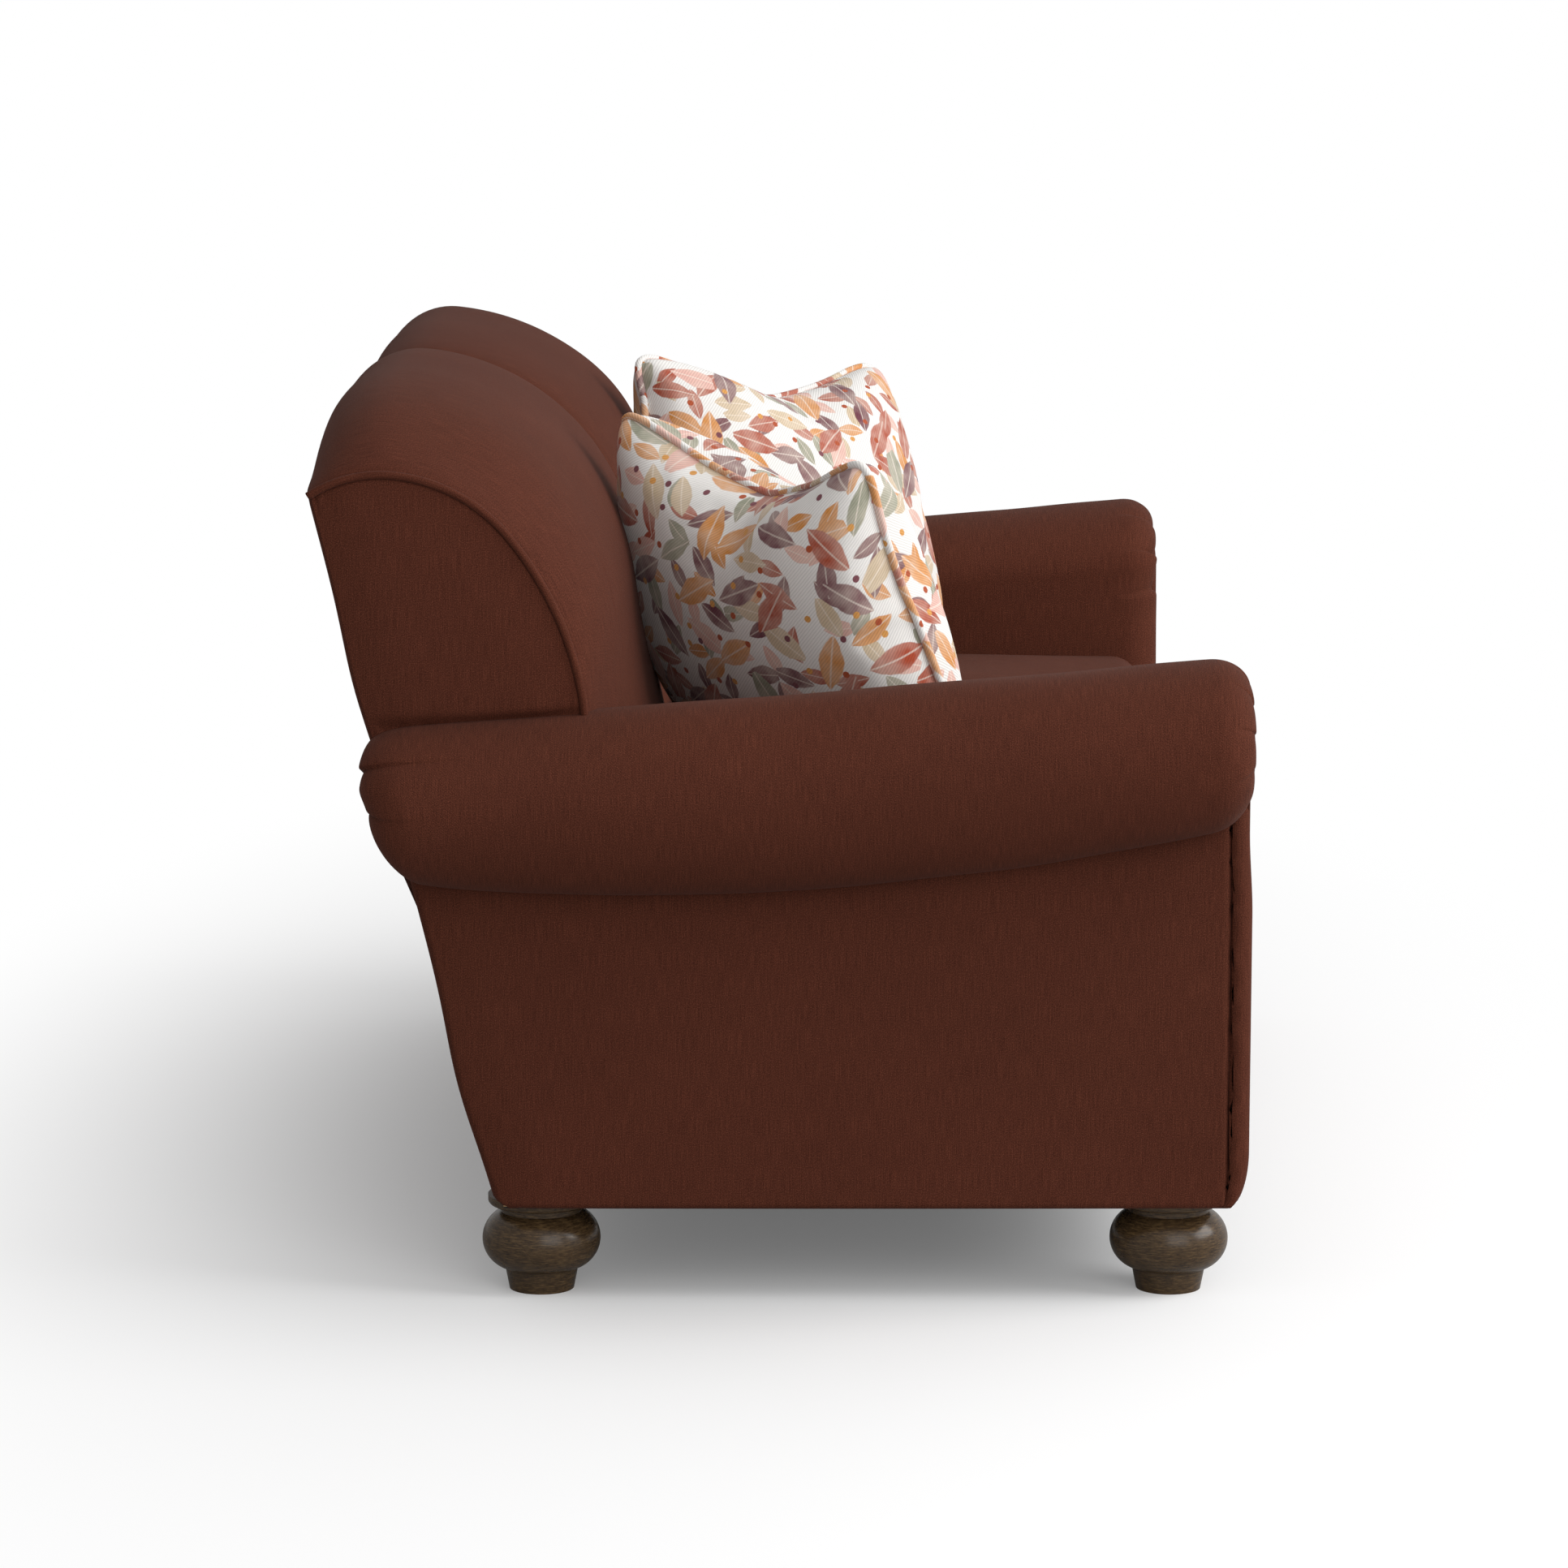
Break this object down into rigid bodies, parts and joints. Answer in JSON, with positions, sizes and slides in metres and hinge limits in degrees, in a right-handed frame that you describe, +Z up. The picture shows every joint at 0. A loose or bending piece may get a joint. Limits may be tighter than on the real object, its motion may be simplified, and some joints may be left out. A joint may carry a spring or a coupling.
{
  "type": "loveseat",
  "caption": "Loveseat with rolled pleated arms, crowned back cushions, loose seat cushions, turned bun feet and throw pillows.",
  "frame": {"origin": "floor level, under the middle of the bounding box", "axes": "+X along the seat to the right as seen from the front, +Y from the front to the rear, +Z up"},
  "size_m": [1.7302, 0.9764, 0.9479],
  "materials": {
    "upholstery_fabric": "matte",
    "pillow_fabric": "matte",
    "foot_wood": "satin",
    "frame_wood": "matte",
    "foam_fill": "matte",
    "lining_cloth": "matte",
    "hardware_steel": "satin"
  },
  "bodies": {
    "frame": {"arm_board_left": "frame_wood", "arm_board_right": "frame_wood", "arm_front_panel_left": "upholstery_fabric", "arm_front_panel_right": "upholstery_fabric", "arm_inside_panel_left": "upholstery_fabric", "arm_inside_panel_right": "upholstery_fabric", "arm_outside_panel_left": "upholstery_fabric", "arm_outside_panel_right": "upholstery_fabric", "arm_post_left": "frame_wood", "arm_post_right": "frame_wood", "arm_roll_left": "upholstery_fabric", "arm_roll_right": "upholstery_fabric", "back_center_post": "frame_wood", "back_cushion_left": "upholstery_fabric", "back_cushion_right": "upholstery_fabric", "back_end_panel_left": "upholstery_fabric", "back_end_panel_right": "upholstery_fabric", "back_post_left": "frame_wood", "back_post_right": "frame_wood", "back_top_rail": "frame_wood", "back_webbing": "lining_cloth", "back_welt_left": "upholstery_fabric", "back_welt_right": "upholstery_fabric", "center_rail": "frame_wood", "dust_cover": "lining_cloth", "foot_blocks": "frame_wood", "foot_front_left": "foot_wood", "foot_front_right": "foot_wood", "foot_inserts": "hardware_steel", "foot_rear_left": "foot_wood", "foot_rear_right": "foot_wood", "front_apron": "upholstery_fabric", "front_rail": "frame_wood", "hanger_bolts": "hardware_steel", "lower_back_pad": "upholstery_fabric", "outside_back_panel": "upholstery_fabric", "rear_rail_left": "frame_wood", "rear_rail_right": "frame_wood", "seat_deck": "upholstery_fabric", "seat_springs": "hardware_steel", "side_rail_left": "frame_wood", "side_rail_right": "frame_wood", "spring_clips": "hardware_steel"},
    "seat_cushion_left": {"seat_cover_left": "upholstery_fabric", "seat_core_left": "foam_fill"},
    "seat_cushion_right": {"seat_cover_right": "upholstery_fabric", "seat_core_right": "foam_fill"},
    "pillow_left": {"pillow_cover_left": "pillow_fabric", "pillow_insert_left": "foam_fill", "pillow_welt_left": "pillow_fabric"},
    "pillow_right": {"pillow_cover_right": "pillow_fabric", "pillow_insert_right": "foam_fill", "pillow_welt_right": "pillow_fabric"}
  },
  "joints": [
    {"name": "seat_cushion_left_pull", "type": "slide", "parent": "frame", "child": "seat_cushion_left", "axis": [0, -0.9997, 0.0262], "range_m": [0, 0.7]},
    {"name": "pillow_left_lift", "type": "slide", "parent": "seat_cushion_left", "child": "pillow_left", "axis": [0, 0, 1], "range_m": [0, 0.45]},
    {"name": "seat_cushion_right_pull", "type": "slide", "parent": "frame", "child": "seat_cushion_right", "axis": [0, -0.9997, 0.0262], "range_m": [0, 0.7]},
    {"name": "pillow_right_lift", "type": "slide", "parent": "seat_cushion_right", "child": "pillow_right", "axis": [0, 0, 1], "range_m": [0, 0.45]}
  ]
}
